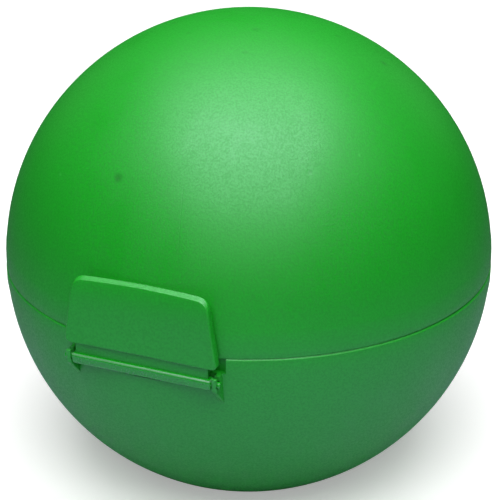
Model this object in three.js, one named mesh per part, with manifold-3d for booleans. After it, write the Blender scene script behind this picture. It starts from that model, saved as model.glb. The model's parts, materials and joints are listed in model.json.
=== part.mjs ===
// A ball-shaped snack box: two half shells that meet at the equator, hinged together at the
// back on a pin and held shut at the front by a snap flap. Everything is injection moulded
// polypropylene, except the steel hinge pin.
//
// Millimetres, +Z up. The origin is the centre of the flat foot's underside, the flap is at
// the front (-Y) and the hinge at the back (+Y). The box is symmetric about the plane X = 0.

import * as THREE from 'three';
import { mergeVertices } from 'three/addons/utils/BufferGeometryUtils.js';
import Module from 'manifold-3d';

const wasm = await Module();
wasm.setup();

// ---------------------------------------------------------------- driving dimensions

const ballRadius = 80;
const footRadius = 39.5;
const wall = 2.4;
const clearance = 0.3;

// The rim: a tongue on the bowl stands inside a thinner skirt on the lid.
const rimHeight = 8;
const rimFlare = 0.1;
const rimCorner = 0.4;
const bandStep = 0.15;
const bandBlend = 1.5;
const tongueWall = 1.2;

// The flap is a tapered plate with a turned-in edge, on a barrel that snaps between two ears.
const flapHeight = 21.9;
const flapTopHalfWidth = 21.4;
const flapBottomHalfWidth = 24.6;
const flapCrown = 0.8;
const flapCornerRadius = 3.5;
const flapFootRadius = 1.6;
const flapCornerRise = 0.2;
const flapBottom = -1.5;
const flapPlate = 1.8;
const flapEdgeWidth = 1.6;
const flapEdgeDepth = 1;
const flapStandOut = 0.9;
const neckLength = 3.1;
const neckThickness = 1.4;
const barrelRadius = 2.1;
const barrelHalfLength = 22.6;
const barrelSetBack = 1.7;
const neckInset = 1.1;
const stubRadius = 1;
const stubRecess = 0.2;
const earWidth = 2.5;
const earFrontWall = 0.7;
const earTopWall = 1;
const snapSlotWidth = 1.5;

// The catch: a bead inside the flap sits over a rib on the lid.
const catchHalfLength = 12;
const catchHeight = 5;
const catchThickness = 1.4;
const catchOverlap = 0.8;

// Walls behind the flap, where the ball is flattened to let the flap in.
const landingGap = 0.5;
const landingMargin = 1;
const landingWall = 2.5;
const pocketWall = 1.8;

// The back hinge: the lid's middle knuckle between two on the bowl.
const pinRadius = 1.2;
const knuckleWall = 1.7;
const lidKnuckleLength = 16;
const bowlKnuckleLength = 9.5;
const knuckleStandOff = 0.6;
const webDrop = 7;

// Smoothness of the round surfaces, and the least radius and spacing that are kept.
const turnSteps = 64;
const domeSteps = 13;
const roundSteps = 24;
const cornerSteps = 4;
const sharpestCorner = 0.2;
const weldDistance = 1e-4;

// A piece runs this far into the one it joins, and a cut this far past what it cuts.
const overrun = 0.5;

// ---------------------------------------------------------------- derived places

// Heights are measured from the ball's centre, which is level with the seam, and the foot's
// underside lies seamHeight below it. A depth is a distance in front of the centre, along -Y.
const seamHeight = Math.sqrt(ballRadius ** 2 - footRadius ** 2);
const innerRadius = ballRadius - wall;
const rimRadius = ballRadius + rimFlare;
const tongueRadius = innerRadius + tongueWall;
const skirtRadius = tongueRadius + clearance;

const flapFront = ballRadius + flapStandOut;
const plateBack = flapFront - flapPlate;
const flapBack = plateBack - flapEdgeDepth;
const landing = flapBack - landingGap;
const landingInside = landing - landingWall;
const pocketFace = landingInside - clearance;
const pocketInside = pocketFace - pocketWall;

const barrelDepth = flapFront - barrelSetBack;
const barrelHeight = flapBottom - neckLength - barrelRadius;
const flapTop = flapBottom + flapHeight;
const barrelRoom = barrelRadius + clearance;
const stubRoom = stubRadius + clearance;
const earInner = barrelHalfLength + clearance;
const earOuter = earInner + earWidth;
const earTop = barrelHeight + stubRoom + earTopWall;
const earFront = barrelDepth + stubRoom + earFrontWall;
const neckHalfLength = barrelHalfLength - neckInset;

const knuckleRadius = pinRadius + clearance + knuckleWall;
const hingeDepth = rimRadius + knuckleStandOff + knuckleRadius;
const hingeHeight = clearance / 2;
const pinRoom = pinRadius + clearance;
const hingeHalfLength = lidKnuckleLength / 2 + clearance + bowlKnuckleLength;

// Longer than anything that it cuts through.
const far = 2 * ballRadius;

// ---------------------------------------------------------------- solids and cuts

// A closed geometry becomes a solid that can be joined and cut.
function toSolid(geometry) {
  const bare = geometry.clone();
  bare.deleteAttribute('normal');
  bare.deleteAttribute('uv');
  const merged = mergeVertices(bare, weldDistance);
  const index = merged.index.array;
  const corners = [];
  for (let i = 0; i < index.length; i += 3) {
    const [a, b, c] = [index[i], index[i + 1], index[i + 2]];
    if (a !== b && b !== c && c !== a) {
      corners.push(a, b, c);
    }
  }
  return new wasm.Manifold(new wasm.Mesh({
    numProp: 3,
    vertProperties: new Float32Array(merged.attributes.position.array),
    triVerts: new Uint32Array(corners),
  }));
}

function toGeometry(solid) {
  const mesh = solid.getMesh();
  const geometry = new THREE.BufferGeometry();
  geometry.setAttribute('position', new THREE.BufferAttribute(mesh.vertProperties, 3));
  geometry.setIndex(new THREE.BufferAttribute(mesh.triVerts, 1));
  geometry.computeVertexNormals();
  return geometry;
}

// A profile of [radius, height] points is turned about the Z axis. It runs anticlockwise
// when the radius is drawn to the right and the height upwards.
function turned(profile) {
  const points = profile.map(([radius, height]) => new THREE.Vector2(radius, height));
  return toSolid(new THREE.LatheGeometry(points, turnSteps).rotateX(Math.PI / 2));
}

function block(x0, x1, y0, y1, z0, z1) {
  const box = new THREE.BoxGeometry(x1 - x0, y1 - y0, z1 - z0);
  return toSolid(box.translate((x0 + x1) / 2, (y0 + y1) / 2, (z0 + z1) / 2));
}

// A round rod along X, or the bore for one.
function rod(radius, x0, x1, y, z) {
  const cylinder = new THREE.CylinderGeometry(radius, radius, x1 - x0, roundSteps);
  return toSolid(cylinder.rotateZ(Math.PI / 2).translate((x0 + x1) / 2, y, z));
}

// An outline drawn in [y, z] is drawn out along X.
function extrudedAlongX(outline, x0, x1) {
  const shape = new THREE.Shape(outline.map(([y, z]) => new THREE.Vector2(y, z)));
  const geometry = new THREE.ExtrudeGeometry(shape, { depth: x1 - x0, bevelEnabled: false });
  const turn = new THREE.Matrix4().makeBasis(
    new THREE.Vector3(0, 1, 0),
    new THREE.Vector3(0, 0, 1),
    new THREE.Vector3(1, 0, 0),
  );
  return toSolid(geometry.applyMatrix4(turn).translate(x0, 0, 0));
}

// A shape drawn in X and Z is drawn out from one distance in front of the ball to another.
function extrudedFront(shape, nearDepth, farDepth) {
  const geometry = new THREE.ExtrudeGeometry(shape, {
    depth: farDepth - nearDepth,
    bevelEnabled: false,
    curveSegments: cornerSteps,
  });
  return toSolid(geometry.rotateX(Math.PI / 2).translate(0, -nearDepth, 0));
}

// ---------------------------------------------------------------- round profiles

// Points on a circle about the ball's centre, from one height to another.
function arc(radius, fromHeight, toHeight, steps) {
  const from = Math.asin(fromHeight / radius);
  const to = Math.asin(toHeight / radius);
  return Array.from({ length: steps + 1 }, (_, i) => {
    const angle = from + (to - from) * i / steps;
    return [Math.max(radius * Math.cos(angle), 0), radius * Math.sin(angle)];
  });
}

function radiusAt(radius, height) {
  return Math.sqrt(radius ** 2 - height ** 2);
}

// ---------------------------------------------------------------- bowl

function bowlOutside() {
  return turned([
    [0, -seamHeight],
    ...arc(ballRadius, -seamHeight, -rimHeight, domeSteps),
    [rimRadius, -rimCorner],
    [rimRadius - rimCorner, 0],
    [tongueRadius, 0],
    [radiusAt(tongueRadius, rimHeight), rimHeight],
    [0, rimHeight],
  ]);
}

function bowlHollow() {
  const floor = -seamHeight + wall;
  const above = rimHeight + overrun;
  return turned([
    [0, floor],
    ...arc(innerRadius, floor, rimHeight, domeSteps),
    [radiusAt(innerRadius, rimHeight), above],
    [0, above],
  ]);
}

// Gussets that carry the flap's barrel. Their underside runs back to the ball at 45 degrees.
function ears() {
  const nose = barrelHeight - stubRoom - earFrontWall;
  const root = pocketFace - overrun;
  const outline = [
    [-root, earTop],
    [-root, nose - (earFront - root)],
    [-earFront, nose],
    [-earFront, earTop],
  ];
  return extrudedAlongX(outline, earInner, earOuter)
    .add(extrudedAlongX(outline, -earOuter, -earInner));
}

// Bores for the flap's stubs, each with a slot above it that the stub snaps in through.
function earBores() {
  const bores = rod(stubRoom, -far, far, -barrelDepth, barrelHeight);
  const slots = block(
    -far, far,
    -barrelDepth - snapSlotWidth / 2, -barrelDepth + snapSlotWidth / 2,
    barrelHeight, earTop + overrun,
  );
  return bores.add(slots);
}

// The hollow that the flap's foot turns in, open upwards into the rim.
function flapPocket() {
  const above = rimHeight + overrun;
  const behindPanel = block(-earOuter, earOuter, -far, -pocketFace, earTop, above);
  const roundBarrel = rod(barrelRoom, -earInner, earInner, -barrelDepth, barrelHeight);
  const overBarrel = block(
    -earInner, earInner,
    -far, -(barrelDepth - barrelRoom),
    barrelHeight, above,
  );
  return behindPanel.add(roundBarrel).add(overBarrel);
}

// A knuckle at the back, with a web that runs to the ball's wall above or below the seam.
function knuckle(x0, x1, up) {
  const base = up ? clearance : 0;
  const way = up ? 1 : -1;
  const slope = Math.SQRT1_2 * knuckleRadius;
  const webRoot = ballRadius - wall / 2;
  const outline = [
    [webRoot, base],
    [hingeDepth, base],
    [hingeDepth + slope, hingeHeight + way * slope],
    [webRoot, hingeHeight + way * (knuckleRadius + webDrop)],
  ];
  const web = extrudedAlongX(up ? outline : outline.reverse(), x0, x1);
  return rod(knuckleRadius, x0, x1, hingeDepth, hingeHeight).add(web);
}

function bowl() {
  const inner = lidKnuckleLength / 2 + clearance;
  const flatWall = block(-far, far, -far, -pocketInside, -far, far);
  const knuckles = knuckle(inner, hingeHalfLength, false)
    .add(knuckle(-hingeHalfLength, -inner, false));
  return bowlOutside()
    .subtract(flapPocket())
    .add(ears())
    .subtract(earBores())
    .add(knuckles)
    .subtract(bowlHollow().subtract(flatWall))
    .subtract(rod(pinRoom, -far, far, hingeDepth, hingeHeight));
}

// ---------------------------------------------------------------- lid

function lidOutside() {
  return turned([
    [0, clearance],
    [rimRadius - rimCorner, clearance],
    [rimRadius, clearance + rimCorner],
    [radiusAt(ballRadius, rimHeight) + bandStep, rimHeight],
    ...arc(ballRadius, rimHeight + bandBlend, ballRadius, domeSteps),
  ]);
}

function lidHollow() {
  const step = rimHeight + clearance;
  return turned([
    [0, 0],
    [skirtRadius, 0],
    [skirtRadius, clearance],
    [radiusAt(skirtRadius, step), step],
    ...arc(innerRadius, step, innerRadius, domeSteps),
  ]);
}

function catchRib() {
  const back = landing - overrun;
  const front = plateBack - clearance;
  return block(
    -catchHalfLength, catchHalfLength,
    -front, -back,
    catchHeight, catchHeight + catchThickness,
  );
}

// The flat wall that the flap closes on. It reaches down into the bowl's pocket.
function landingPlate() {
  const half = earOuter - clearance;
  return block(-half, half, -far, -landingInside, 0, far);
}

// The ball is cut flat in front of that wall.
function landingCut() {
  const half = flapBottomHalfWidth + landingMargin;
  return block(-half, half, -far, -landing, 0, flapTop + clearance);
}

function lid() {
  return lidOutside()
    .subtract(landingCut())
    .add(catchRib())
    .add(knuckle(-lidKnuckleLength / 2, lidKnuckleLength / 2, true))
    .subtract(lidHollow().subtract(landingPlate()))
    .subtract(rod(pinRoom, -far, far, hingeDepth, hingeHeight));
}

// ---------------------------------------------------------------- flap

// The flap's face: wider at the foot, with a crowned top edge and rounded corners.
function flapOutline(inset) {
  const top = flapTop - inset;
  const bottom = flapBottom + inset;
  const topHalf = flapTopHalfWidth - inset;
  const bottomHalf = flapBottomHalfWidth - inset;
  const shoulder = top - flapCrown;
  const crownEnd = shoulder + flapCornerRise;
  const crownControl = 2 * top - crownEnd;
  const corner = Math.max(flapCornerRadius - inset, sharpestCorner);
  const foot = Math.max(flapFootRadius - inset, sharpestCorner);
  const lean = (bottomHalf - topHalf) / (shoulder - bottom);
  const shape = new THREE.Shape();
  shape.moveTo(-bottomHalf + foot, bottom);
  shape.lineTo(bottomHalf - foot, bottom);
  shape.quadraticCurveTo(bottomHalf, bottom, bottomHalf - lean * foot, bottom + foot);
  shape.lineTo(topHalf + lean * corner, shoulder - corner);
  shape.quadraticCurveTo(topHalf, shoulder, topHalf - corner, crownEnd);
  shape.quadraticCurveTo(0, crownControl, -topHalf + corner, crownEnd);
  shape.quadraticCurveTo(-topHalf, shoulder, -topHalf - lean * corner, shoulder - corner);
  shape.lineTo(-bottomHalf + lean * foot, bottom + foot);
  shape.quadraticCurveTo(-bottomHalf, bottom, -bottomHalf + foot, bottom);
  return shape;
}

function hookBead() {
  const bottom = catchHeight + catchThickness + clearance;
  const back = plateBack - clearance - catchOverlap;
  return block(
    -catchHalfLength, catchHalfLength,
    -plateBack - overrun, -back,
    bottom, bottom + catchThickness,
  );
}

function barrelWithStubs() {
  const stubEnd = earOuter - stubRecess;
  return rod(barrelRadius, -barrelHalfLength, barrelHalfLength, -barrelDepth, barrelHeight)
    .add(rod(stubRadius, -stubEnd, stubEnd, -barrelDepth, barrelHeight));
}

function latchFlap() {
  const neck = block(
    -neckHalfLength, neckHalfLength,
    -barrelDepth - neckThickness / 2, -barrelDepth + neckThickness / 2,
    barrelHeight, flapBottom + flapEdgeWidth / 2,
  );
  return extrudedFront(flapOutline(0), flapBack, flapFront)
    .subtract(extrudedFront(flapOutline(flapEdgeWidth), flapBack - overrun, plateBack))
    .add(neck)
    .add(barrelWithStubs())
    .add(hookBead());
}

// ---------------------------------------------------------------- hinge pin

function hingePin() {
  return rod(pinRadius, -hingeHalfLength, hingeHalfLength, hingeDepth, hingeHeight);
}

// ---------------------------------------------------------------- assembly

function plastic(colour) {
  return new THREE.MeshStandardMaterial({ color: colour, roughness: 0.55, metalness: 0 });
}

function steel() {
  return new THREE.MeshStandardMaterial({ color: 0xb9bcc0, roughness: 0.3, metalness: 1 });
}

function piece(name, solid, material) {
  const mesh = new THREE.Mesh(toGeometry(solid), material);
  mesh.name = name;
  return mesh;
}

const snackBox = new THREE.Group();
snackBox.position.z = seamHeight;
snackBox.add(
  piece('bowl', bowl(), plastic(0x15821f)),
  piece('lid', lid(), plastic(0x168a20)),
  piece('latch_flap', latchFlap(), plastic(0x178c22)),
  piece('hinge_pin', hingePin(), steel()),
);

export default snackBox;
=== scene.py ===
# %% [markdown]
# # A ball-shaped snack box in green moulded plastic
# The real thing is two half shells of polypropylene that meet at the ball's waist. A steel pin
# hinges them at the back and a snap flap holds them shut at the front. This lesson builds the
# visible pieces around the engineer's model, which fixes every size, place and joint.

# %% Load the frame
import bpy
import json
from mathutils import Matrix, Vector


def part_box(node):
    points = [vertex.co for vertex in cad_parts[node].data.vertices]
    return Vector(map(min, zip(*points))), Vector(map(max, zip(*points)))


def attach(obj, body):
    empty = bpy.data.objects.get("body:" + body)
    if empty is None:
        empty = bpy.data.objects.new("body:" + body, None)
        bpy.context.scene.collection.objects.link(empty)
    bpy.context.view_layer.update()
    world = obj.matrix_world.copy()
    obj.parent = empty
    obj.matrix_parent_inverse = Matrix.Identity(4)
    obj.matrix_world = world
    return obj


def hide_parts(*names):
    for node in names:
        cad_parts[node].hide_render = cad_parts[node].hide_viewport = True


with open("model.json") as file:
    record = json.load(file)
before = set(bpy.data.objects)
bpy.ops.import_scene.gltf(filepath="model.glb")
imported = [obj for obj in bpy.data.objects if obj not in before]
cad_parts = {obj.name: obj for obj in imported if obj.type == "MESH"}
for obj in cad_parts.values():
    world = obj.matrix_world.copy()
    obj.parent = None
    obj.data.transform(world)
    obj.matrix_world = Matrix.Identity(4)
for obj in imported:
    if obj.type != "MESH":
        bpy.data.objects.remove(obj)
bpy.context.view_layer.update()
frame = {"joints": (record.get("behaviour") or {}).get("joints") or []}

# %% [markdown]
# ## Sizes
# The pieces are drawn in millimetres about the ball's centre, because plastic parts are drawn
# that way and the cutting tools are most exact near that size. The places come from the boxes
# and joints of the engineer's model, so the finished pieces sit exactly on it. A "depth" is a
# distance in front of the centre, along -Y, and a height is measured from the seam.

# %% Read the sizes off the frame
import json
import math

import bmesh
import bpy
from mathutils import Matrix, Vector

MM = 0.001


def box_mm(node):
    """The lowest and highest corner of a node, in millimetres."""
    low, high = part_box(node)
    return low / MM, high / MM


rim_height = 8  # how far the bowl's tongue stands above the seam
seam = box_mm("bowl")[1].z - rim_height
lid_high = box_mm("lid")[1]
ball = lid_high.z - seam
foot = math.sqrt(ball ** 2 - seam ** 2)
rim = lid_high.x
print(f"ball {2 * ball:.1f} mm across, foot {2 * foot:.1f} mm, seam {seam:.2f} mm up")


# %% Find the two axes and the ends of the flap and the pin
def joint_place(name):
    """The depth and height of a joint's axis, in millimetres about the ball's centre."""
    joint = next(j for j in frame["joints"] if j["name"] == name)
    _, y, z = joint["pos_m"]
    return -y / MM, z / MM - seam


flap_high = box_mm("latch_flap")[1]
flap_top = flap_high.z - seam
pin_low, pin_high = box_mm("hinge_pin")
hinge_depth, hinge_height = joint_place("lid_hinge")
hinge_back = -hinge_depth
barrel_depth, barrel_height = joint_place("latch_pivot")
print(f"hinge {hinge_back:.1f} mm behind the centre, flap's axis {barrel_depth:.1f} mm in front")

# %% [markdown]
# ## Walls and clearances
# A moulded part has one wall thickness nearly everywhere, so that it cools evenly, and parts
# that move past each other keep one small clearance. These few sizes are chosen once, and the
# others follow from them, each from the surface that it has to clear.

# %% The shells' walls
wall = 2.4
gap = 0.3
inner = ball - wall
tongue = inner + 1.2
skirt = tongue + gap
far = 2 * ball
print(f"wall {wall} mm, gap {gap} mm, tongue {tongue:.1f} mm from the axis")

# %% The flap, and what stands around it
flap_front = ball + 0.9
flap_plate = 1.8
flap_edge = 1.6
flap_bottom = -1.5
plate_back = flap_front - flap_plate
flap_back = plate_back - 1.0
landing = flap_back - 0.5
landing_inside = landing - 2.5
pocket_face = landing_inside - gap
pocket_inside = pocket_face - 1.8
barrel_radius = 2.1
barrel_half = 22.6
stub_radius = 1.0
stub_half = flap_high.x
ear_inner = barrel_half + gap
ear_outer = ear_inner + 2.5
ear_top = barrel_height + stub_radius + gap + 1
ear_front = barrel_depth + stub_radius + gap + 0.3
print(f"flap {flap_top - flap_bottom:.1f} mm tall, its face {flap_front:.1f} mm in front")

# %% [markdown]
# ## Closed meshes
# Every piece starts as a closed mesh: a turned outline, a slab or a block. The pieces are then
# joined and cut, as a toolmaker joins and cuts steel. Blender's Manifold solver keeps such
# meshes closed, and it is fast enough to work on the fine shells that a smooth ball needs.


# %% Make, join and cut closed meshes
def new_mesh(name, points, faces):
    """A closed mesh whose faces are turned to point outwards."""
    mesh = bpy.data.meshes.new(name)
    mesh.from_pydata(points, [], faces)
    work = bmesh.new()
    work.from_mesh(mesh)
    bmesh.ops.recalc_face_normals(work, faces=work.faces)
    work.to_mesh(mesh)
    work.free()
    obj = bpy.data.objects.new(name, mesh)
    bpy.context.scene.collection.objects.link(obj)
    return obj


def settled(obj):
    """Keeps the shape that an object's modifiers give it, and drops the modifiers."""
    graph = bpy.context.evaluated_depsgraph_get()
    shape = bpy.data.meshes.new_from_object(obj.evaluated_get(graph))
    obj.modifiers.clear()
    obj.data = shape
    return obj


def combined(operation, obj, *others):
    """Joins (UNION) or cuts (DIFFERENCE) closed meshes. The others are used up."""
    for other in others:
        step = obj.modifiers.new(other.name, "BOOLEAN")
        step.operation = operation
        step.solver = "MANIFOLD"
        step.object = other
    settled(obj)
    for other in others:
        bpy.data.objects.remove(other)
    return obj


def joined(obj, *others):
    return combined("UNION", obj, *others)


def cut(obj, *others):
    return combined("DIFFERENCE", obj, *others)


# %% [markdown]
# ## The bowl's shell
# The lower shell is one moulding: a ball cut flat for a foot, with a tongue around its mouth
# that stands inside the lid. It could be cut from a sphere, but a turned outline puts a point
# exactly where each edge is. The small radii along the rim matter most, because a moulded edge
# shows as a thin bright line.

# %% Turn an outline about the ball's axis
TURN_STEPS = 288
ON_AXIS = 1e-6


def turned(name, outline, steps=TURN_STEPS):
    """Turns an outline of (radius, height) points about Z. It starts and ends on the axis."""
    points, rings = [], []
    for radius, height in outline:
        count = 1 if radius < ON_AXIS else steps
        rings.append((len(points), count))
        for i in range(count):
            angle = 2 * math.pi * i / steps
            points.append((radius * math.cos(angle), radius * math.sin(angle), height))
    faces = []
    for (a, a_count), (b, b_count) in zip(rings, rings[1:]):
        for i in range(steps):
            k = (i + 1) % steps
            corners = [a + i % a_count, a + k % a_count, b + k % b_count, b + i % b_count]
            faces.append(list(dict.fromkeys(corners)))
    return new_mesh(name, points, [face for face in faces if len(face) > 2])


def arc_points(centre_radius, centre_height, radius, start, end, steps):
    """Points of an arc. 0 degrees points outwards, and 90 upwards."""
    angles = [math.radians(start + (end - start) * i / steps) for i in range(steps + 1)]
    return [
        (centre_radius + radius * math.cos(a), centre_height + radius * math.sin(a))
        for a in angles
    ]


def ball_arc(radius, low, high, steps):
    """Points on a ball of that radius about the centre, from one height to another."""
    start, end = (math.degrees(math.asin(h / radius)) for h in (low, high))
    points = arc_points(0, 0, radius, start, end, steps)
    return [(max(r, 0.0), z) for r, z in points]


def radius_at(radius, height):
    """How far from the axis a ball of that radius is at a height."""
    return math.sqrt(radius ** 2 - height ** 2)


print(f"one step round the ball is {2 * math.pi * ball / TURN_STEPS:.2f} mm")

# %% Turn the bowl's outside
GATE_NUB, GATE_DIMPLE = 1.2, 3.6
FOOT_ROUND, FOOT_INSET = 1.4, 1.2
SIDE_START = 1.1
RIM_ROUND = 0.3
LEDGE = 0.28
LEDGE_RISE = 0.02
BEAD = gap - 0.06
BEAD_SLOPE = 0.2
BEAD_ROOT = (0.15, 0.1)
TONGUE_START = 0.5
TONGUE_EDGE = 0.3


def gate_mark():
    """The dimple under the foot where the melt came in, with the cut gate in its middle."""
    cut_end, roof = -seam + 0.3, -seam + 0.6
    return [
        (0, cut_end),
        (GATE_NUB - 0.3, cut_end),
        (GATE_NUB, roof),
        (GATE_DIMPLE - 0.6, roof),
        (GATE_DIMPLE, -seam),
    ]


def tongue_outline():
    """From the rim's ledge over a low bead, which fills the seam's depth, to the mouth."""
    root_in, root_up = BEAD_ROOT
    return [
        (rim - LEDGE, LEDGE_RISE),
        (rim - LEDGE - BEAD_SLOPE, BEAD),
        (tongue + root_in, BEAD),
        (tongue, BEAD + root_up),
        *ball_arc(tongue, TONGUE_START, rim_height - TONGUE_EDGE, 6),
        (radius_at(tongue, rim_height) - TONGUE_EDGE, rim_height),
        (0, rim_height),
    ]


def bowl_outside():
    foot_edge = arc_points(foot - FOOT_INSET, -seam + FOOT_ROUND, FOOT_ROUND, -90, -34, 5)
    return turned("bowl_shell", [
        *gate_mark(),
        *foot_edge[:-1],
        *ball_arc(ball, -seam + SIDE_START, -rim_height, 60),
        (rim, -rim_height / 2),
        *arc_points(rim - RIM_ROUND, -RIM_ROUND, RIM_ROUND, 0, 90, 6),
        *tongue_outline(),
    ])


bowl = bowl_outside()
print("bowl's outside:", len(bowl.data.polygons), "faces")

# %% [markdown]
# ## The bowl's pocket and ears
# The flap turns in a pocket at the front of the bowl, between two ears whose slots its stubs
# snap into. The pocket is cut first and the ears are joined next, so that the pocket's cut can't
# take anything off them.

# %% Blocks, slabs and rods
ROD_STEPS = 64
ROD_EDGE_STEPS = 5
BEVEL_ANGLE = math.radians(30)


def block(name, x0, x1, y0, y1, z0, z1):
    points = [(x, y, z) for x in (x0, x1) for y in (y0, y1) for z in (z0, z1)]
    faces = [(0, 1, 3, 2), (4, 6, 7, 5), (0, 4, 5, 1), (2, 3, 7, 6), (0, 2, 6, 4), (1, 5, 7, 3)]
    return new_mesh(name, points, faces)


def slab(name, outline, x0, x1):
    """A slab along X whose side view is an outline of (y, height) points."""
    n = len(outline)
    points = [(x, y, z) for x in (x0, x1) for y, z in outline]
    sides = [(i, (i + 1) % n, n + (i + 1) % n, n + i) for i in range(n)]
    return new_mesh(name, points, [list(range(n)), list(range(n, 2 * n))] + sides)


def rod(name, radius, x0, x1, y, z, edge=0.0, steps=ROD_STEPS):
    """A round rod along X, with its end edges rounded by a radius if one is given."""
    end, start = [(radius, x1)], [(radius, x0)]
    if edge:
        end = arc_points(radius - edge, x1 - edge, edge, 90, 0, ROD_EDGE_STEPS)
        start = arc_points(radius - edge, x0 + edge, edge, 0, -90, ROD_EDGE_STEPS)
    obj = turned(name, [(0, x1), *end, *start, (0, x0)], steps)
    obj.data.transform(Matrix.Translation((0, y, z)) @ Matrix.Rotation(math.pi / 2, 4, "Y"))
    return obj


def rounded(obj, radius, segments=3):
    """Rounds the edges of a small closed mesh."""
    step = obj.modifiers.new("rounded", "BEVEL")
    step.width = radius
    step.segments = segments
    step.limit_method = "ANGLE"
    step.angle_limit = BEVEL_ANGLE
    return settled(obj)


# %% Cut the flap's pocket
ABOVE = rim_height + 1


def flap_pocket():
    """The hollow that the flap's foot turns in. It is open upwards into the rim."""
    room = barrel_radius + gap
    return [
        block("behind_panel", -ear_outer, ear_outer, -far, -pocket_face, ear_top, ABOVE),
        rod("round_barrel", room, -ear_inner, ear_inner, -barrel_depth, barrel_height),
        block(
            "over_barrel", -ear_inner, ear_inner, -far, room - barrel_depth, barrel_height, ABOVE
        ),
    ]


cut(bowl, *flap_pocket())
print(f"pocket {2 * ear_inner:.1f} mm wide between the ears")

# %% Add the ears, and bore them for the flap's stubs
EAR_THICK = 1.5
EAR_LEAN = 0.45
EAR_NOSE = 0.7
EAR_SUNK = 0.5
EAR_ROUND = 0.22
HALF_SLOT = 0.75


def ears():
    """Gussets that carry the flap. Their underside runs back to the ball at 45 degrees."""
    nose = barrel_height - stub_radius - gap - EAR_NOSE
    root = pocket_face - EAR_SUNK
    side = [
        (-root, ear_top),
        (-root, nose - (ear_front - root)),
        (-ear_front + EAR_LEAN, nose),
        (-ear_front, ear_top),
    ]
    outer = ear_inner + EAR_THICK
    spans = [(-outer, -ear_inner), (ear_inner, outer)]
    return [rounded(slab("ear", side, *span), EAR_ROUND) for span in spans]


def ear_bores():
    """Bores for the flap's stubs, with the slot above each that the stub snaps in through."""
    return [
        rod("bore", stub_radius + gap, -far, far, -barrel_depth, barrel_height),
        block(
            "slot", -far, far, -barrel_depth - HALF_SLOT, -barrel_depth + HALF_SLOT,
            barrel_height, ear_top + 1,
        ),
    ]


joined(bowl, *ears())
cut(bowl, *ear_bores())
print("ears:", EAR_THICK, "mm thick, bored", 2 * (stub_radius + gap), "mm")

# %% [markdown]
# ## The hinge's knuckles
# Three knuckles share one steel pin: the middle one belongs to the lid and the outer two to the
# bowl. Each is a round rod on a flat web that runs to its own shell. One function serves both
# shells, and the bore is cut last, so that it runs through knuckle and web alike.

# %% Make a knuckle and its bore
PIN_RADIUS = (pin_high.z - pin_low.z) / 2
PIN_ROOM = PIN_RADIUS + gap
KNUCKLE = PIN_ROOM + 1.7
KNUCKLE_EDGE = 0.3
WEB_REACH = 7
WEB_ROUND = 0.2
LID_KNUCKLE_HALF = 8.0
HINGE_HALF = pin_high.x


def knuckle(x0, x1, way):
    """A round knuckle on a web that runs to the shell, above (1) or below (-1) the seam."""
    base = gap if way > 0 else 0.0
    slope = math.sqrt(0.5) * KNUCKLE
    root = ball - wall / 2
    side = [
        (root, base),
        (hinge_back, base),
        (hinge_back + slope, hinge_height + way * slope),
        (root, hinge_height + way * (KNUCKLE + WEB_REACH)),
    ]
    web = rounded(slab("web", side, x0, x1), WEB_ROUND)
    return joined(rod("knuckle", KNUCKLE, x0, x1, hinge_back, hinge_height, KNUCKLE_EDGE), web)


def pin_bore():
    return rod("pin_bore", PIN_ROOM, -far, far, hinge_back, hinge_height)


inner_end = LID_KNUCKLE_HALF + gap
joined(bowl, knuckle(inner_end, HINGE_HALF, -1), knuckle(-HINGE_HALF, -inner_end, -1))
print(f"knuckles {2 * KNUCKLE:.1f} mm thick on a pin of {2 * PIN_RADIUS:.1f} mm")

# %% [markdown]
# ## The bowl's inside
# The inside is cut out last, by a second turned outline. A flat wall stays standing behind the
# pocket, so that the shell is closed there, and the same cut clears the pin's bore.

# %% Hollow the bowl
FLOOR_ROUND = (2.5, 1.5)


def bowl_hollow():
    """The room inside. A flat wall behind the flap's pocket stays standing."""
    floor = -seam + wall
    lip = radius_at(inner, rim_height) + TONGUE_EDGE
    round_in, round_up = FLOOR_ROUND
    room = turned("bowl_hollow", [
        (0, floor),
        (radius_at(inner, floor) - round_in, floor),
        *ball_arc(inner, floor + round_up, rim_height - TONGUE_EDGE, 50),
        (lip, rim_height),
        (lip, ABOVE),
        (0, ABOVE),
    ])
    return cut(room, block("flat_wall", -far, far, -far, -pocket_inside, -far, far))


cut(bowl, bowl_hollow(), pin_bore())
print("bowl:", len(bowl.data.polygons), "faces")

# %% [markdown]
# ## The lid
# The upper shell closes over the bowl's tongue with a thinner skirt. Its lowest eight
# millimetres stand almost upright, so a soft crease runs round above the seam. A real lid never
# sits quite even: the flap pulls it tight at the front, and the gap opens a little towards the
# hinge. That is done by lifting the lower edge of the mesh before it is cut.

# %% Open the seam towards the hinge
FRONT_TIGHT = math.radians(25)
GAP_OPEN = math.radians(85)
GAP_LIFT = 0.35
LIFT_REACH = 4.0


def eased(share):
    """A share that is held between 0 and 1 and starts and ends softly."""
    share = min(max(share, 0.0), 1.0)
    return share * share * (3 - 2 * share)


def lift_edge(obj):
    """Opens the seam smoothly with the angle from the front. It fades out above the edge."""
    for vertex in obj.data.vertices:
        x, y, z = vertex.co
        if z < LIFT_REACH and math.hypot(x, y) > tongue:
            angle = abs(math.atan2(x, -y))
            opening = GAP_LIFT * eased((angle - FRONT_TIGHT) / (GAP_OPEN - FRONT_TIGHT))
            vertex.co.z = z + opening * (LIFT_REACH - z) / (LIFT_REACH - gap)
    return obj


print(f"seam {gap} mm at the front and {gap + GAP_LIFT:.2f} mm at the sides")

# %% Turn the lid's outside
SKIRT_ROUND = 0.12
SKIRT_INSET = LEDGE + 0.1
BAND = [  # how far in from the rim, and how high above the seam
    (LEDGE - 0.16, 1.5),
    (0.14, rim_height / 3 + 0.5),
    (0.2, rim_height * 2 / 3),
]
CREASE_STEP = 0.12
CREASE_BELOW, CREASE_ABOVE = 0.2, 0.7
DOME_START = 2.0


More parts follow.
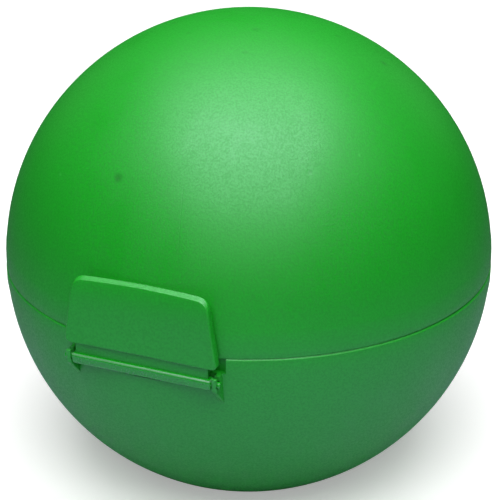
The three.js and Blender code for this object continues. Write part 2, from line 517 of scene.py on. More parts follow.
def lid_outside():
    crease = radius_at(ball, rim_height) + CREASE_STEP
    return lift_edge(turned("lid_shell", [
        (0, gap),
        *arc_points(rim - SKIRT_INSET, gap + SKIRT_ROUND, SKIRT_ROUND, -90, 0, 4),
        *[(rim - inset, height) for inset, height in BAND],
        (crease, rim_height - CREASE_BELOW),
        (crease - CREASE_STEP, rim_height + CREASE_ABOVE),
        *ball_arc(ball, rim_height + DOME_START, ball, 64),
    ]))


lid = lid_outside()
print("lid's outside:", len(lid.data.polygons), "faces")

# %% [markdown]
# ## The flat and the catch rib
# Behind the flap the lid is flat, so that the straight flap can lie close to it. A low rib runs
# along the flat, and the bead inside the flap snaps over it. That rib is the whole lock.

# %% Cut the flat, and add the rib and the lid's knuckle
CATCH_HALF = 12
CATCH_HEIGHT = 5
CATCH_THICK = 1.4
CATCH_ROUND = 0.25
LANDING_HALF = 25.6
ROOTED = 0.5


def landing_cut():
    return block("landing", -LANDING_HALF, LANDING_HALF, -far, -landing, 0, flap_top + gap)


def catch_rib():
    """A rib that starts inside the flat wall, so that it joins it, and stops short of the flap."""
    return rounded(block(
        "rib", -CATCH_HALF, CATCH_HALF, gap - plate_back, ROOTED - landing,
        CATCH_HEIGHT, CATCH_HEIGHT + CATCH_THICK,
    ), CATCH_ROUND)


cut(lid, landing_cut())
joined(lid, catch_rib(), knuckle(-LID_KNUCKLE_HALF, LID_KNUCKLE_HALF, 1))
print("catch rib:", 2 * CATCH_HALF, "mm long,", CATCH_HEIGHT, "mm above the seam")

# %% Hollow the lid
LEAD_IN = 0.25
SHOULDER = 0.3
BELOW = -1


def lid_hollow():
    """The room inside the lid. The flat wall behind the flap stays standing."""
    step = rim_height + gap
    half = ear_outer - gap
    room = turned("lid_hollow", [
        (0, BELOW),
        (skirt + LEAD_IN, BELOW),
        (skirt + LEAD_IN, gap),
        *ball_arc(skirt, gap + LEAD_IN, step, 6),
        *ball_arc(inner, step + SHOULDER, inner, 56),
    ])
    return cut(room, block("flat_wall", -half, half, -far, -landing_inside, 0, far))


cut(lid, lid_hollow(), pin_bore())
print("lid:", len(lid.data.polygons), "faces")

# %% [markdown]
# ## The flap's outline
# Seen from the front the flap is a plate that is wider at its foot, with rounded corners and a
# top edge that rises a little to its middle. The outline is drawn once, as curves and lines, and
# can be asked for at any inset, so that each ring of the plate has the same number of points.

# %% Draw the outline
TOP_HALF, BOTTOM_HALF = 21.4, 24.6
FLAP_CORNER = 3.5
FLAP_FOOT = 1.6
FLAP_CROWN = 0.8
CROWN_BULGE = 0.15
CORNER_RISE = 0.2
SMALLEST_CORNER = 0.2


def line(a, b, steps):
    return [tuple(p + (q - p) * i / steps for p, q in zip(a, b)) for i in range(steps)]


def bend(a, control, b, steps):
    """A quadratic curve, without its last point."""
    points = []
    for i in range(steps):
        t = i / steps
        shares = ((1 - t) ** 2, 2 * t * (1 - t), t * t)
        ends = (a, control, b)
        points.append(tuple(sum(s * p[k] for s, p in zip(shares, ends)) for k in (0, 1)))
    return points


def flap_outline(inset):
    """The plate's outline in (x, height): wider at the foot, with a crowned top edge."""
    top, bottom = flap_top - inset, flap_bottom + inset
    top_half, bottom_half = TOP_HALF - inset, BOTTOM_HALF - inset
    shoulder = top - FLAP_CROWN
    crown_end = shoulder + CORNER_RISE
    corner = max(FLAP_CORNER - inset, SMALLEST_CORNER)
    low = max(FLAP_FOOT - inset, SMALLEST_CORNER)
    lean = (bottom_half - top_half) / (shoulder - bottom)
    foot_in, foot_up = (bottom_half - low, bottom), (bottom_half - lean * low, bottom + low)
    side_top, top_in = (top_half + lean * corner, shoulder - corner), (top_half - corner, crown_end)
    crown = (top_half / 2, (crown_end + top) / 2 + CROWN_BULGE)
    right = [
        *bend(foot_in, (bottom_half, bottom), foot_up, steps=8),
        *line(foot_up, side_top, steps=20),
        *bend(side_top, (top_half, shoulder), top_in, steps=10),
        *bend(top_in, crown, (0, top), steps=16),
    ]
    left = [(-x, z) for x, z in reversed(right[1:])]
    return right + [(0, top)] + left + line((-foot_in[0], bottom), foot_in, steps=24)


print("flap's outline:", len(flap_outline(0)), "points")

# %% [markdown]
# ## The flap's plate
# The face is not flat: it leans back more and more towards the top, and there it ends in a
# sloping band that a finger pulls on, while its sides have a small even radius. The two kinds of
# edge run into each other at the corners. A bevel can't change its shape along an edge, so the
# plate is lofted: ring after ring is worked out, and each is joined to the next.

# %% The face and its edges
FACE_LEAN, TOP_LEAN = 0.1, 1.4
BLEND_START, BLEND_LENGTH = 4.5, 3.5
EDGE_STEPS = 8
SIDE_ROUND = 0.55
SIDE_EDGE = [  # how far in from the outline, and how far behind the face
    (SIDE_ROUND * (1 - math.sin(a)), SIDE_ROUND * (1 - math.cos(a)))
    for a in (math.pi / 2 * i / EDGE_STEPS for i in range(EDGE_STEPS + 1))
]
TOP_EDGE = [  # the same for the sloping band, whose two edges are rounded
    (0.88, 0.0), (0.81, 0.02), (0.75, 0.09), (0.58, 0.36), (0.41, 0.63),
    (0.24, 0.90), (0.10, 1.12), (0.03, 1.18), (0.0, 1.24),
]


def face_depth(height):
    """How far in front the flap's face stands. It leans back more and more towards the top."""
    share = max(height / flap_top, 0.0)
    return flap_front - FACE_LEAN * share - TOP_LEAN * share ** 5


def top_share(height):
    """0 along the sides and the foot of the flap, and 1 along its top."""
    return eased((height - flap_top + BLEND_START) / BLEND_LENGTH)


def edge_ring(outline, middle, side, top):
    """One ring along the edge. Each point is blended between the side's and the top's edge."""
    ring = []
    for x, z in outline:
        share = top_share(z)
        inset, behind = (a + (b - a) * share for a, b in zip(side, top))
        upright = share + (1 - share) * (z - middle) / math.hypot(x, z - middle)
        on_side = abs(x) > TOP_HALF - FLAP_CORNER
        sideways = math.copysign(1 - share, x) if on_side else 0
        height = z - inset * upright
        ring.append((x - inset * sideways, behind - face_depth(height), height))
    return ring


print(f"face leans back {face_depth(0) - face_depth(flap_top):.1f} mm by its top")

# %% Loft the plate
FACE_SCALES = (0.06, 0.2, 0.4, 0.6, 0.75, 0.88, 0.96)
INSIDE_SCALES = (0.7, 0.4, 0.1)
BACK_ROUND, BACK_STEP = 0.25, 0.08
INSIDE_ROUND = 0.2


def face_rings():
    """Rings over the face: scaled ones about its middle, then the rounded edge."""
    middle = (flap_top + flap_bottom) / 2
    first = edge_ring(flap_outline(0), middle, SIDE_EDGE[0], TOP_EDGE[0])
    for scale in FACE_SCALES:
        heights = [middle + (z - middle) * scale for _, _, z in first]
        yield [(x * scale, -face_depth(h), h) for (x, _, _), h in zip(first, heights)]
    for side, top in zip(SIDE_EDGE, TOP_EDGE):
        yield edge_ring(flap_outline(0), middle, side, top)


def back_rings():
    """Rings round the turned-in edge and over the plate's inside."""
    for inset, depth in (
        (0, flap_back + BACK_ROUND),
        (BACK_STEP, flap_back + BACK_STEP),
        (BACK_ROUND, flap_back),
        (flap_edge - INSIDE_ROUND, flap_back),
        (flap_edge, flap_back + INSIDE_ROUND),
        (flap_edge, plate_back - INSIDE_ROUND),
        (flap_edge + INSIDE_ROUND, plate_back),
    ):
        yield [(x, -depth, z) for x, z in flap_outline(inset)]
    middle = (flap_top + flap_bottom) / 2
    inside = flap_outline(flap_edge + INSIDE_ROUND)
    for scale in INSIDE_SCALES:
        yield [(x * scale, -plate_back, middle + (z - middle) * scale) for x, z in inside]


def lofted(name, rings):
    """Joins each ring of points to the next, and closes the two ends."""
    n = len(rings[0])
    points = [point for ring in rings for point in ring]
    faces = [list(range(n)), list(range(len(points) - n, len(points)))]
    for k in range(0, len(points) - n, n):
        faces += [(k + i, k + (i + 1) % n, k + n + (i + 1) % n, k + n + i) for i in range(n)]
    return new_mesh(name, points, faces)


flap = lofted("flap_panel", [*face_rings(), *back_rings()])
print("flap's plate:", len(flap.data.polygons), "faces")

# %% [markdown]
# ## The flap's neck, barrel and bead
# A thin neck hangs the plate on its barrel, and two stubs on the barrel turn in the ears. The
# barrel has four flats with large radii between them, and its front flat looks a little
# downwards, as the bowl's side does. A bevelled block gives that at once. The bead inside the
# plate is the other half of the snap.

# %% Add them to the plate
BAR_HALF = 1.7
BAR_ROUND, BAR_ROUND_STEPS = 0.85, 6
BAR_TILT = math.radians(8)
STUB_EDGE, STUB_STEPS = 0.3, 32
NECK_INSET = 1.1
NECK_THICK = 0.7
NECK_ROUND = 0.2
HOOK_REACH = 0.8


def barrel():
    """The barrel with its flats, and the round stubs at its ends."""
    place = (-barrel_depth, barrel_height)
    half = BAR_HALF
    bar = block("bar", -barrel_half, barrel_half, -half, half, -half, half)
    rounded(bar, BAR_ROUND, BAR_ROUND_STEPS)
    bar.data.transform(Matrix.Translation((0, *place)) @ Matrix.Rotation(BAR_TILT, 4, "X"))
    return bar, rod("stubs", stub_radius, -stub_half, stub_half, *place, STUB_EDGE, STUB_STEPS)


def neck():
    half = barrel_half - NECK_INSET
    return rounded(block(
        "neck", -half, half, -barrel_depth - NECK_THICK, -barrel_depth + NECK_THICK,
        barrel_height, flap_bottom + flap_edge / 2,
    ), NECK_ROUND)


def hook_bead():
    """The bead that snaps over the lid's rib, and stands just above it when the flap is shut."""
    bottom = CATCH_HEIGHT + CATCH_THICK + gap
    reach = plate_back - gap - HOOK_REACH
    return rounded(block(
        "hook", -CATCH_HALF, CATCH_HALF, -plate_back - ROOTED, -reach,
        bottom, bottom + CATCH_THICK,
    ), CATCH_ROUND)


joined(flap, neck(), *barrel(), hook_bead())
print("flap:", len(flap.data.polygons), "faces")

# %% [markdown]
# ## The hinge pin
# A ground steel rod with rounded ends is pressed through all three knuckles. It is a turned
# piece like the shells, only much smaller.

# %% Make the pin
PIN_EDGE = 0.3
pin = rod("pin_steel", PIN_RADIUS, -HINGE_HALF, HINGE_HALF, hinge_back, hinge_height, PIN_EDGE)
print("pin:", len(pin.data.polygons), "faces")

# %% [markdown]
# ## Finish groups
# One mould finish covers every plastic piece, so its effects are node groups that are built
# once and placed in each material with its own values. A few small helpers keep the node trees
# short enough to read.


# %% Helpers for nodes
def feed(tree, socket, source):
    """Links a socket to another one, or sets its value."""
    if isinstance(source, bpy.types.NodeSocket):
        tree.links.new(source, socket)
    else:
        socket.default_value = source


def add(tree, kind, links=(), **settings):
    """Adds a node. Links are (input, value or source socket) pairs."""
    node = tree.nodes.new(kind)
    for key, value in settings.items():
        setattr(node, key, value)
    for label, source in links:
        feed(tree, node.inputs[label], source)
    return node


def maths(tree, operation, a, b=0.0, c=0.0):
    node = add(tree, "ShaderNodeMath", [(0, a), (1, b), (2, c)], operation=operation)
    return node.outputs[0]


def vector_maths(tree, operation, a, b):
    return add(tree, "ShaderNodeVectorMath", [(0, a), (1, b)], operation=operation)


def ramp(tree, value, low, high, to_low=0.0, to_high=1.0):
    """Maps a value smoothly from one range to another."""
    links = [("Value", value), ("From Min", low), ("From Max", high),
             ("To Min", to_low), ("To Max", to_high)]
    kind = "ShaderNodeMapRange"
    return add(tree, kind, links, interpolation_type="SMOOTHSTEP").outputs[0]


def noise(tree, place, scale, detail=2.0):
    """Noise between 0 and 1. The scale is in lumps to the metre."""
    links = [("Vector", place), ("Scale", scale), ("Detail", detail)]
    return add(tree, "ShaderNodeTexNoise", links).outputs[0]


def node_group(name, inputs, outputs):
    """A shader group with its sockets made. Returns the tree and its two end nodes."""
    tree = bpy.data.node_groups.new(name, "ShaderNodeTree")
    for label, kind, value in inputs:
        socket = tree.interface.new_socket(label, in_out="INPUT", socket_type=kind)
        if value is not None:
            socket.default_value = value
    for label, kind in outputs:
        tree.interface.new_socket(label, in_out="OUTPUT", socket_type=kind)
    return tree, tree.nodes.new("NodeGroupInput"), tree.nodes.new("NodeGroupOutput")


def placed_group(tree, group, links):
    """Places a node group in a material with its own values, and returns its outputs."""
    return add(tree, "ShaderNodeGroup", links, node_tree=group).outputs


FLOAT, VECTOR = "NodeSocketFloat", "NodeSocketVector"
print("groups pass on numbers as", FLOAT, "and places as", VECTOR)

# %% [markdown]
# ## The spark-eroded grain
# The sides of such a mould are spark-eroded, which leaves a fine, even, sandy grain. The grain
# is smaller than a millimetre, so it is a bump and a slight fleck in the colour, and not
# geometry. Two pitches of noise are mixed, because sparks leave craters of more than one size.

# %% Make the grain
COARSE_PITCH = 0.3
FINE_SHARE, COARSE_SHARE = 0.7, 0.3


def grain_group():
    """Grain of one pitch: a height for the bump and a fleck for the colour, both 0 to 1."""
    tree, start, end = node_group(
        "spark_grain",
        [("Place", VECTOR, None), ("Grains per metre", FLOAT, 2500.0)],
        [("Height", FLOAT), ("Fleck", FLOAT)],
    )
    place, count = start.outputs["Place"], start.outputs["Grains per metre"]
    fine = noise(tree, place, count, 2.0)
    coarse = noise(tree, place, maths(tree, "MULTIPLY", count, COARSE_PITCH), 1.0)
    coarse_height = maths(tree, "MULTIPLY", coarse, COARSE_SHARE)
    height = maths(tree, "MULTIPLY_ADD", fine, FINE_SHARE, coarse_height)
    feed(tree, end.inputs["Height"], height)
    feed(tree, end.inputs["Fleck"], ramp(tree, fine, low=0.3, high=0.7))
    return tree


GRAIN = grain_group()
print(GRAIN.name, "has", len(GRAIN.nodes), "nodes")

# %% [markdown]
# ## The slow unevenness of a moulding
# Melt cools on its way from the gate, and leaves cloudy bands a few centimetres across and
# drawn-out smears that are a little glossier. Low noise makes the clouds, and noise that is
# stretched along the height makes the smears.

# %% Make the clouds and smears
CLOUDS = 28.0
SMEARS = 90.0
SMEAR_STRETCH = (1.0, 1.0, 0.35)


def flow_group():
    """Cloudy bands and drawn-out smears, as melt leaves on its way from the gate."""
    tree, start, end = node_group(
        "melt_flow", [("Place", VECTOR, None)], [("Cloud", FLOAT), ("Smear", FLOAT)],
    )
    place = start.outputs["Place"]
    stretched = vector_maths(tree, "MULTIPLY", place, SMEAR_STRETCH).outputs[0]
    smears = noise(tree, stretched, SMEARS, 3.0)
    feed(tree, end.inputs["Cloud"], noise(tree, place, CLOUDS, 2.0))
    feed(tree, end.inputs["Smear"], ramp(tree, smears, low=0.45, high=0.75))
    return tree


FLOW = flow_group()
print(FLOW.name, "has", len(FLOW.nodes), "nodes")

# %% [markdown]
# ## Wear on edges
# Hands and tables rub the edges of a box shiny and a little pale. How sharply the surface bends
# gives the mask, and noise breaks it up so that it looks used and not drawn.

# %% Make the wear
WEAR_PATCHES = 700.0


def wear_group():
    """A mask that is 1 on worn edges. The amount scales it."""
    tree, start, end = node_group(
        "edge_wear", [("Place", VECTOR, None), ("Amount", FLOAT, 1.0)], [("Mask", FLOAT)],
    )
    sharpness = add(tree, "ShaderNodeNewGeometry").outputs["Pointiness"]
    edge = ramp(tree, sharpness, low=0.53, high=0.62)
    patches = noise(tree, start.outputs["Place"], WEAR_PATCHES, 3.0)
    broken = ramp(tree, patches, low=0.35, high=0.65, to_low=0.4)
    worn = maths(tree, "MULTIPLY", edge, broken)
    mask = maths(tree, "MULTIPLY", worn, start.outputs["Amount"])
    feed(tree, end.inputs["Mask"], mask)
    return tree


WEAR = wear_group()
print(WEAR.name, "has", len(WEAR.nodes), "nodes")

# %% [markdown]
# ## Spots and hairlines
# Dents, specks and scratches are single marks at chosen places. A spot is known by its distance
# from a point. A scratch on a ball is nearly part of a great circle, so it is where a plane
# through the ball's centre cuts the surface, faded out at both ends.


# %% Make the spot and the hairline
def fade(tree, share, start):
    """1 up to where it starts to fade, and 0 from a share of 1 onwards."""
    return ramp(tree, share, low=start, high=1.0, to_low=1.0, to_high=0.0)


def spot_group():
    """A soft round spot: 1 at its centre, and 0 from its radius outwards."""
    tree, start, end = node_group(
        "soft_spot",
        [("Place", VECTOR, None), ("Centre", VECTOR, None), ("Radius", FLOAT, 0.001)],
        [("Mask", FLOAT)],
    )
    apart = vector_maths(tree, "DISTANCE", start.outputs["Place"], start.outputs["Centre"])
    share = maths(tree, "DIVIDE", apart.outputs["Value"], start.outputs["Radius"])
    feed(tree, end.inputs["Mask"], fade(tree, share, 0.0))
    return tree


def hairline_group():
    """A thin line across the ball: where a plane through its centre meets it, near a middle."""
    tree, start, end = node_group(
        "hairline",
        [("Place", VECTOR, None), ("Ball centre", VECTOR, None), ("Across", VECTOR, None),
         ("Middle", VECTOR, None), ("Half length", FLOAT, 0.01), ("Half width", FLOAT, 0.0003)],
        [("Mask", FLOAT)],
    )
    out = start.outputs
    arm = vector_maths(tree, "SUBTRACT", out["Place"], out["Ball centre"]).outputs[0]
    off = vector_maths(tree, "DOT_PRODUCT", arm, out["Across"]).outputs["Value"]
    thin = maths(tree, "DIVIDE", maths(tree, "ABSOLUTE", off), out["Half width"])
    along = vector_maths(tree, "DISTANCE", out["Place"], out["Middle"]).outputs["Value"]
    length = maths(tree, "DIVIDE", along, out["Half length"])
    both = maths(tree, "MULTIPLY", fade(tree, thin, 0.0), fade(tree, length, 0.6))
    feed(tree, end.inputs["Mask"], both)
    return tree


SPOT, HAIRLINE = spot_group(), hairline_group()
print("mark groups:", SPOT.name, "and", HAIRLINE.name)

# %% [markdown]
# ## The plastic
# Polypropylene with a strong green pigment: almost no red or blue comes back from inside it, so
# the colour is deep, and the pale veil at the edges of the ball is gloss from the surface. The
# grain keeps that gloss soft. The flap's barrel comes from a polished part of the mould, so the
# same plastic gets a smoother finish there, and a third, paler one along the barrel's upper
# front edge, which is a painted highlight standing in for the bright line that light draws there.

# %% The colours and the finish
GREEN = (0.006, 0.43, 0.012, 1.0)
PALE_GREEN = (0.05, 0.55, 0.07, 1.0)
# A paler green: on worn edges it is wear, and on the barrel's upper front edge it is a painted
# highlight.
WORN_AND_HIGHLIGHT_GREEN = (0.12, 0.44, 0.16, 1.0)
DARK_GREEN = (0.003, 0.20, 0.006, 1.0)
CLOUD_DARK, FLECK_DARK = 0.16, 0.3
RUB_PALE, RUB_GLOSS = 0.5, 0.08
SMEAR_GLOSS, FLECK_ROUGH = 0.05, 0.16


def mixed(tree, mask, a, b):
    """Mixes two colours by a mask."""
    node = add(tree, "ShaderNodeMix", data_type="RGBA")
    feed(tree, node.inputs["Factor"], mask)
    colours_in = [socket for socket in node.inputs if socket.type == "RGBA"]
    for socket, source in zip(colours_in, (a, b)):
        feed(tree, socket, source)
    return next(socket for socket in node.outputs if socket.type == "RGBA")


def toned(tree, mask, amount, colour, tone):
    """A colour that goes towards a tone, by an amount, where the mask is 1."""
    return mixed(tree, maths(tree, "MULTIPLY", mask, amount), colour, tone)


def pigment(tree, grain, flow, wear, tone):
    """The pigment's colour: clouded and flecked with dark green, and paler where it is rubbed."""
    cloud = maths(tree, "MULTIPLY", flow["Cloud"], CLOUD_DARK)
    fleck = maths(tree, "MULTIPLY", grain["Fleck"], FLECK_DARK)
    colour = mixed(tree, maths(tree, "ADD", cloud, fleck), tone, DARK_GREEN)
    return toned(tree, wear["Mask"], RUB_PALE, colour, WORN_AND_HIGHLIGHT_GREEN)


def sandy_roughness(tree, grain, flow, wear, roughness):
    """Rougher on the grain's flecks, and smoother in the melt's smears and on rubbed edges."""
    smear = maths(tree, "MULTIPLY_ADD", flow["Smear"], -SMEAR_GLOSS, roughness)
    sandy = maths(tree, "MULTIPLY_ADD", grain["Fleck"], FLECK_ROUGH, smear)
    even = maths(tree, "SUBTRACT", sandy, FLECK_ROUGH / 2)
    return maths(tree, "MULTIPLY_ADD", wear["Mask"], -RUB_GLOSS, even)


# %% The plastic's material
GLOSS = 0.95
GLOSS_TINT = (0.75, 0.8, 1.0, 1.0)
PLASTIC_IOR = 1.49
COAT_ROUGHNESS = 0.12
GRAINS = 1700.0


def new_material(name):
    """A material, with its node tree and its Principled shader."""
    material = bpy.data.materials.new(name)
    material.use_nodes = True
    return material, material.node_tree, material.node_tree.nodes["Principled BSDF"]


def finish(tree, shader, colour, roughness, height):
    """Links what changes over the surface to the shader. The height becomes a bump."""
    links = [("Strength", 1.0), ("Distance", 1.0), ("Height", height)]
    bump = add(tree, "ShaderNodeBump", links)
    feed(tree, shader.inputs["Base Color"], colour)
    feed(tree, shader.inputs["Roughness"], roughness)
    feed(tree, shader.inputs["Normal"], bump.outputs["Normal"])


def plastic(name, roughness, grain_depth, marks=None, rubbed=0.5, polish=0.0, tone=GREEN):
    """The green plastic. The marks are a function that adds to its colour and height."""
    material, tree, shader = new_material(name)
    shader.inputs["IOR"].default_value = PLASTIC_IOR
    shader.inputs["Specular IOR Level"].default_value = GLOSS
    shader.inputs["Specular Tint"].default_value = GLOSS_TINT
    shader.inputs["Coat Weight"].default_value = polish
    shader.inputs["Coat Roughness"].default_value = COAT_ROUGHNESS
    place = add(tree, "ShaderNodeTexCoord").outputs["Object"]
    grain = placed_group(tree, GRAIN, [("Place", place), ("Grains per metre", GRAINS)])
    flow = placed_group(tree, FLOW, [("Place", place)])
    wear = placed_group(tree, WEAR, [("Place", place), ("Amount", rubbed)])
    colour = pigment(tree, grain, flow, wear, tone)
    height = maths(tree, "MULTIPLY", grain["Height"], grain_depth)
    if marks:
        colour, height = marks(tree, place, colour, height)
    shine = sandy_roughness(tree, grain, flow, wear, roughness)
    finish(tree, shader, colour, shine, height)
    return material


SATIN, SMOOTH = 0.46, 0.22
GRAIN_DEPTH = 0.035 * MM
FAINT_DEPTH = 0.1 * GRAIN_DEPTH
bowl_plastic = plastic("bowl_plastic", SATIN, GRAIN_DEPTH)
flap_plastic = plastic("flap_plastic", SATIN, GRAIN_DEPTH)
barrel_plastic = plastic("barrel_plastic", SMOOTH, FAINT_DEPTH, rubbed=0.3, polish=0.15)
# The barrel's upper front edge: a paler, glossier green that is a painted highlight, not wear.
barrel_highlight_plastic = plastic("barrel_highlight_plastic", 0.3, FAINT_DEPTH, polish=0.2, tone=WORN_AND_HIGHLIGHT_GREEN)
print(f"grain {1000 / GRAINS:.2f} mm apart and {GRAIN_DEPTH / MM} mm deep")

# %% [markdown]
# ## Marks on the lid
# This lid has been handled. It has a few shallow dents that are darker in colour, two small raised
# specks and two fine scratches. Each is placed by its angle round the ball from the flap and
# its angle above the seam, because that is how one would point them out on the real lid.

# %% Place the marks
BALL_CENTRE = Vector((0, 0, seam)) * MM
DENTS = [  # degrees round from the flap and above the seam, radius in millimetres, darkness
    (-12.0, 34.8, 2.4, 0.75),
    (99.5, 57.3, 2.2, 0.6),
    (-75.9, 72.6, 1.6, 0.4),
    (32.8, 80.5, 2.0, 0.35),
    (21.4, 70.7, 1.4, 0.35),
    (100.9, 69.2, 1.6, 0.3),
    (-36.9, 74.4, 1.4, 0.3),
    (39.1, 38.6, 1.2, 0.25),
]
SPECKS = [(-32.3, 30.9, 1.0), (55.1, 40.5, 0.7)]
SCRATCHES = [  # two ends, half width in millimetres, darkness
    ((6.5, 38.0), (7.9, 18.4), 0.25, 0.18),
    ((14.9, 61.5), (33.9, 61.4), 0.25, -0.15),
]


def direction(around, above):
    """A unit step away from the ball: degrees round from its front, and degrees above level."""
    a, e = math.radians(around), math.radians(above)
    return Vector((math.cos(e) * math.sin(a), -math.cos(e) * math.cos(a), math.sin(e)))


def on_ball(around, above):
    """A point on the ball, in metres."""
    return BALL_CENTRE + direction(around, above) * ball * MM


print("marks:", len(DENTS), "dents,", len(SPECKS), "specks,", len(SCRATCHES), "scratches")

# %% Draw the marks into the lid's plastic
DENT_DEPTH = 0.04 * MM
SPECK_PALE, SPECK_HEIGHT = 0.4, 0.03 * MM
SCRATCH_DEPTH = 0.01 * MM


def spot(tree, place, around, above, radius):
    centre = on_ball(around, above)
    links = [("Place", place), ("Centre", centre), ("Radius", radius * MM)]
    return placed_group(tree, SPOT, links)["Mask"]


def scratch(tree, place, start, end, half_width):
    a, b = on_ball(*start) - BALL_CENTRE, on_ball(*end) - BALL_CENTRE
    return placed_group(tree, HAIRLINE, [
        ("Place", place),
        ("Ball centre", BALL_CENTRE),
        ("Across", a.cross(b).normalized()),
        ("Middle", BALL_CENTRE + (a + b) / 2),
        ("Half length", (a - b).length / 2),
        ("Half width", half_width * MM),
    ])["Mask"]


def lid_marks(tree, place, colour, height):
    """Adds the dents, specks and scratches. A scratch of negative darkness is a pale one."""
    for around, above, radius, darkness in DENTS:
        mask = spot(tree, place, around, above, radius)
        colour = toned(tree, mask, darkness, colour, DARK_GREEN)
        height = maths(tree, "MULTIPLY_ADD", mask, -DENT_DEPTH, height)
    for speck in SPECKS:
        mask = spot(tree, place, *speck)
        colour = toned(tree, mask, SPECK_PALE, colour, PALE_GREEN)
        height = maths(tree, "MULTIPLY_ADD", mask, SPECK_HEIGHT, height)
    for start, end, half_width, darkness in SCRATCHES:
        mask = scratch(tree, place, start, end, half_width)
        tone = DARK_GREEN if darkness > 0 else PALE_GREEN
        colour = toned(tree, mask, abs(darkness), colour, tone)
        height = maths(tree, "MULTIPLY_ADD", mask, -SCRATCH_DEPTH, height)
    return colour, height


lid_plastic = plastic("lid_plastic", SATIN, GRAIN_DEPTH, lid_marks)
print(lid_plastic.name, "has", len(lid_plastic.node_tree.nodes), "nodes")

# %% [markdown]
# ## The pin's steel
# The pin is ground round, so very fine rings run round it, and fingers and damp have left a few
# dull patches. Noise that is stretched across the rod makes the rings, and soft noise makes the
# patches, which are both darker and rougher.

# %% Make the steel
BRIGHT_STEEL = (0.62, 0.62, 0.63, 1.0)
DULL_STEEL = (0.38, 0.36, 0.34, 1.0)
RING_STRETCH = (1.0, 0.05, 0.05)
RINGS, PATCHES = 6000.0, 400.0
RING_DEPTH = 0.003 * MM
STEEL_ROUGH, DULL_ROUGH = 0.22, 0.2


def ground_steel(name):
    """Bright steel with fine grinding rings round the rod and a few dull patches."""
    material, tree, shader = new_material(name)
    shader.inputs["Metallic"].default_value = 1.0
    place = add(tree, "ShaderNodeTexCoord").outputs["Object"]
    rings = vector_maths(tree, "MULTIPLY", place, RING_STRETCH).outputs[0]
    dull = ramp(tree, noise(tree, place, PATCHES, 3.0), low=0.5, high=0.7)
    colour = toned(tree, dull, 0.5, BRIGHT_STEEL, DULL_STEEL)
    height = maths(tree, "MULTIPLY", noise(tree, rings, RINGS, 3.0), RING_DEPTH)
    roughness = maths(tree, "MULTIPLY_ADD", dull, DULL_ROUGH, STEEL_ROUGH)
    finish(tree, shader, colour, roughness, height)
    return material


steel = ground_steel("pin_steel")
print(steel.name, "has", len(steel.node_tree.nodes), "nodes")

# %% [markdown]
# ## Dress the pieces
# Each mesh gets its materials. The flap has three: its faces on the barrel are found by their
# distance from the pivot, and those that get the painted highlight among them by the way they face.

# %% Give each piece its finishes
BARREL_REACH = barrel_radius + 0.02
# Barrel faces that look this far upwards and forwards get the painted highlight.
FACES_UP = (0.35, 0.9)


def dress(obj, *materials):
    """The first material covers every face, until another is chosen for some of them."""
    obj.data.materials.clear()
    for material in materials:
        obj.data.materials.append(material)


def on_upper_edge(face):
    """Whether a face of the barrel is on its upper front edge, between the two ears."""
    low, high = FACES_UP
    return abs(face.center.x) < barrel_half and face.normal.y < 0 and low < face.normal.z < high


def polish_barrel(obj):
    """Gives the flap's barrel the second material, and its upper front edge the third, a painted
    highlight.
    """
    for face in obj.data.polygons:
        _, y, z = face.center
        on_barrel = math.hypot(y + barrel_depth, z - barrel_height) < BARREL_REACH
        if on_barrel:
            face.material_index = 2 if on_upper_edge(face) else 1
        else:
            face.material_index = 0


dress(bowl, bowl_plastic)
dress(lid, lid_plastic)
dress(flap, flap_plastic, barrel_plastic, barrel_highlight_plastic)
dress(pin, steel)
polish_barrel(flap)
print("barrel faces:", sum(face.material_index > 0 for face in flap.data.polygons))

# %% [markdown]
# ## Put the pieces on the frame
# Each mesh is scaled from millimetres to metres and lifted so that its foot stands on the floor.
# It then rides on the body it belongs to and stands for that body's plain engineering solid.

# %% Smooth and mount each piece
SHARP_ANGLE = math.radians(32)


def mount(obj, body, node):
    obj.data.transform(Matrix.Scale(MM, 4) @ Matrix.Translation((0, 0, seam)))
    obj.data.shade_smooth()
    obj.data.set_sharp_from_angle(angle=SHARP_ANGLE)
    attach(obj, body)
    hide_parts(node)
    print(obj.name, "rides on", body, "and stands for", node)


mount(bowl, "bowl", "bowl")
mount(lid, "lid", "lid")
mount(flap, "latch", "latch_flap")
mount(pin, "bowl", "hinge_pin")

# %% [markdown]
# ## The floor
# The floor is plain and pale. What the viewer sees of it and what it throws back on the ball are
# set apart: seen directly it is nearly white, and the light that it bounces comes mostly from a
# pool in front of the ball, which keeps the bowl's sides deep green.

# %% Lay the floor
VIEW_ROUND, VIEW_ABOVE = 23.2, 23.4
SEEN_FLOOR = (0.9, 0.9, 0.9, 1.0)
NEAR_GLOW, FAR_GLOW, FAR_OFF = 0.35, 0.9, 1.2
POOL_BOUNCE, FAR_BOUNCE = 0.48, 0.08
BLACK, WHITE = (0, 0, 0, 1), (1, 1, 1, 1)
COOL = (0.84, 1.02, 1.25, 1.0)
POOL_AHEAD = 0.12
POOL_EDGE, POOL_END = 0.06, 0.45
FLOOR_HALF, FLOOR_DEEP = 4000, 20


def floor_material():
    """Pale to the viewer. The light that it throws back comes from a pool in front of the ball."""
    material, tree, shader = new_material("floor")
    seen = add(tree, "ShaderNodeLightPath").outputs["Is Camera Ray"]
    place = add(tree, "ShaderNodeTexCoord").outputs["Object"]
    pool = direction(VIEW_ROUND, 0) * POOL_AHEAD
    apart = vector_maths(tree, "DISTANCE", place, pool).outputs["Value"]
    pool_light = ramp(tree, apart, POOL_EDGE, POOL_END, POOL_BOUNCE, FAR_BOUNCE)
    bounce = mixed(tree, pool_light, BLACK, COOL)
    glow = ramp(tree, apart, POOL_END, FAR_OFF, NEAR_GLOW, FAR_GLOW)
    feed(tree, shader.inputs["Base Color"], mixed(tree, seen, bounce, SEEN_FLOOR))
    feed(tree, shader.inputs["Emission Strength"], maths(tree, "MULTIPLY", seen, glow))
    shader.inputs["Emission Color"].default_value = WHITE
    shader.inputs["Roughness"].default_value = 0.9
    shader.inputs["Specular IOR Level"].default_value = 0.1
    return material


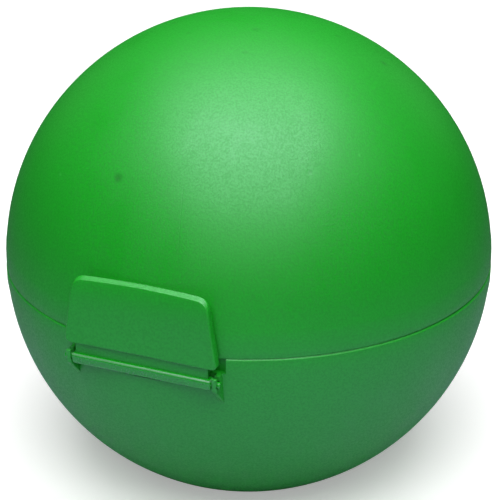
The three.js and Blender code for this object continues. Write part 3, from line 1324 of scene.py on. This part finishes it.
floor = block("floor", -FLOOR_HALF, FLOOR_HALF, -FLOOR_HALF, FLOOR_HALF, -FLOOR_DEEP, 0)
floor.data.transform(Matrix.Scale(MM, 4))
dress(floor, floor_material())
print("floor", 2 * FLOOR_HALF * MM, "m across")

# %% [markdown]
# ## The lamps
# The strong lamps stand in one arc, from overhead down towards the viewer. Each is wider than it
# is deep, so their reflections run together into one long soft highlight down the lid. The room
# beyond them is dark, which keeps the ball's edges deep green, and four weak lamps at the sides
# and behind give those edges their shape.

# %% Darken the room and hang the lamps
ROOM_GLOW = 0.02
LAMPS = [  # degrees round from the viewer, degrees above level, distance, width, depth, watts
    (0, 116, 1.1, 1.2, 0.7, 1.6),
    (0, 86, 1.1, 1.3, 0.8, 8.8),
    (0, 62, 1.2, 1.2, 0.8, 9.7),
    (0, 36, 1.2, 1.1, 0.8, 2.0),
    (-75, 50, 1.3, 0.7, 0.7, 0.6),
    (75, 50, 1.3, 0.7, 0.7, 0.6),
    (-140, 18, 1.3, 0.7, 0.5, 0.15),
    (140, 18, 1.3, 0.7, 0.5, 0.22),
]


def room_light():
    """A dim room that is plain white where the viewer looks past the floor."""
    world = bpy.data.worlds.new("studio")
    world.use_nodes = True
    tree = world.node_tree
    background = tree.nodes["Background"]
    seen = add(tree, "ShaderNodeLightPath").outputs["Is Camera Ray"]
    feed(tree, background.inputs["Strength"], maths(tree, "MAXIMUM", seen, ROOM_GLOW))
    background.inputs["Color"].default_value = WHITE
    bpy.context.scene.world = world


def facing(obj, place, way):
    """Puts an object at a place with its local Z along a direction and its X level."""
    obj.location = place
    across = Vector((0, 0, 1)).cross(way).normalized()
    obj.rotation_euler = Matrix((across, way.cross(across), way)).transposed().to_euler()
    bpy.context.scene.collection.objects.link(obj)
    return obj


def lamp(around, above, distance, width, depth, watts):
    light = bpy.data.lights.new("softbox", "AREA")
    light.shape = "RECTANGLE"
    light.size, light.size_y = width, depth
    light.energy = watts
    way = direction(VIEW_ROUND + around, above)
    return facing(bpy.data.objects.new("softbox", light), BALL_CENTRE + way * distance, way)


room_light()
for settings in LAMPS:
    lamp(*settings)
bpy.context.scene.view_settings.view_transform = "Standard"
print(f"{len(LAMPS)} lamps, {sum(watts for *_, watts in LAMPS):.1f} watts")

# %% [markdown]
# ## The camera
# It stands about six ball radii away and looks at the ball's centre from the viewer's side. The
# long lens keeps the ball from looking swollen.

# %% Set the camera up
VIEW_DISTANCE = 6.3 * ball * MM


def camera(distance, lens, shift):
    """Looks at the ball's centre."""
    way = direction(VIEW_ROUND, VIEW_ABOVE)
    data = bpy.data.cameras.new("camera")
    data.lens = lens
    data.shift_x, data.shift_y = shift
    return facing(bpy.data.objects.new("camera", data), BALL_CENTRE + way * distance, way)


bpy.context.scene.camera = camera(VIEW_DISTANCE, lens=108.6, shift=(0.0024, -0.0016))
print(f"camera {VIEW_DISTANCE:.3f} m from the ball's centre")
